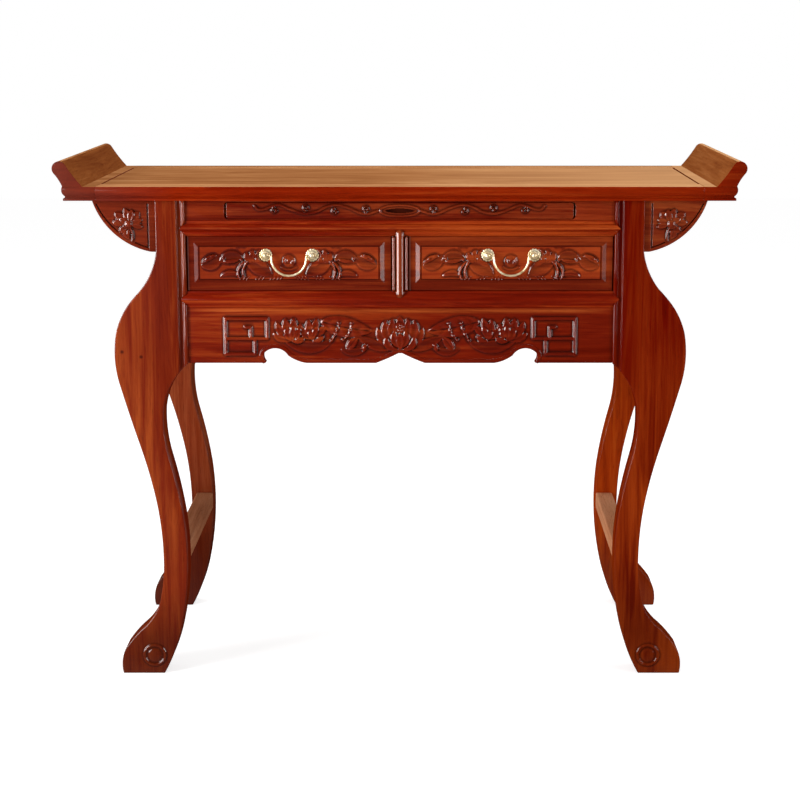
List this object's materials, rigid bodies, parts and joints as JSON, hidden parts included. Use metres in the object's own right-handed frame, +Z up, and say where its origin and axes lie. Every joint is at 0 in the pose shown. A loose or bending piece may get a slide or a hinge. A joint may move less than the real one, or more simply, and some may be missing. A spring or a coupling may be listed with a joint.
{
  "type": "altar table",
  "caption": "Altar table with everted ends, cabriole legs, a carved apron, fielded drawers with brass bail handles and a pull-out board under the top.",
  "frame": {"origin": "on the floor, under the middle of the table", "axes": "+X along the table to its right end seen from the front, +Y to the back, +Z up"},
  "size_m": [1.18, 0.48, 0.914],
  "materials": {
    "red_lacquer": "glossy red-brown lacquer over figured grain",
    "top_lacquer": "glossy golden-tan lacquer",
    "stretcher_lacquer": "worn, dusty satin",
    "plain_wood": "unpolished",
    "brass": "brushed, pale"
  },
  "bodies": {
    "stand": {"apron_front": "red_lacquer", "back_apron": "red_lacquer", "back_panel": "red_lacquer", "back_rail_lower": "red_lacquer", "back_rail_upper": "red_lacquer", "bracket_back_left": "red_lacquer", "bracket_back_right": "red_lacquer", "bracket_front_left": "red_lacquer", "bracket_front_right": "red_lacquer", "drawer_divider": "red_lacquer", "drawer_rail_lower": "red_lacquer", "drawer_rail_upper": "red_lacquer", "drawer_runner_centre": "plain_wood", "drawer_runner_left": "plain_wood", "drawer_runner_right": "plain_wood", "end_scroll_left": "red_lacquer", "end_scroll_right": "red_lacquer", "frieze_board_front": "red_lacquer", "leg_back_left": "red_lacquer", "leg_back_right": "red_lacquer", "leg_front_left": "red_lacquer", "leg_front_right": "red_lacquer", "side_apron_left": "red_lacquer", "side_apron_right": "red_lacquer", "side_panel_left": "red_lacquer", "side_panel_right": "red_lacquer", "side_rail_lower_left": "red_lacquer", "side_rail_lower_right": "red_lacquer", "side_rail_upper_left": "red_lacquer", "side_rail_upper_right": "red_lacquer", "stretcher_left": "stretcher_lacquer", "stretcher_right": "stretcher_lacquer", "top_batten_left": "plain_wood", "top_batten_right": "plain_wood", "top_panel": "top_lacquer", "top_rail_back": "red_lacquer", "top_rail_front": "red_lacquer", "tray_runner_left": "plain_wood", "tray_runner_right": "plain_wood"},
    "drawer_left": {"drawer_left_back": "plain_wood", "drawer_left_bottom": "plain_wood", "drawer_left_front": "red_lacquer", "drawer_left_side_inner": "plain_wood", "drawer_left_side_outer": "plain_wood", "handle_left_nuts": "brass", "handle_left_posts": "brass", "handle_left_rosettes": "brass"},
    "drawer_right": {"drawer_right_back": "plain_wood", "drawer_right_bottom": "plain_wood", "drawer_right_front": "red_lacquer", "drawer_right_side_inner": "plain_wood", "drawer_right_side_outer": "plain_wood", "handle_right_nuts": "brass", "handle_right_posts": "brass", "handle_right_rosettes": "brass"},
    "tray": {"tray_board": "plain_wood", "tray_front": "red_lacquer"},
    "bail_left": {"handle_left_bail": "brass"},
    "bail_right": {"handle_right_bail": "brass"}
  },
  "joints": [
    {"name": "drawer_left_slide", "type": "slide", "parent": "stand", "child": "drawer_left", "axis": [0, -1, 0], "range_m": [0, 0.28]},
    {"name": "drawer_right_slide", "type": "slide", "parent": "stand", "child": "drawer_right", "axis": [0, -1, 0], "range_m": [0, 0.28]},
    {"name": "tray_slide", "type": "slide", "parent": "stand", "child": "tray", "axis": [0, -1, 0], "range_m": [0, 0.25]},
    {"name": "bail_left_swing", "type": "hinge", "parent": "drawer_left", "child": "bail_left", "pos_m": [-0.19075, -0.2335, 0.753], "axis": [-1, 0, 0], "range_deg": [-8, 160]},
    {"name": "bail_right_swing", "type": "hinge", "parent": "drawer_right", "child": "bail_right", "pos_m": [0.19075, -0.2335, 0.753], "axis": [-1, 0, 0], "range_deg": [-8, 160]}
  ]
}
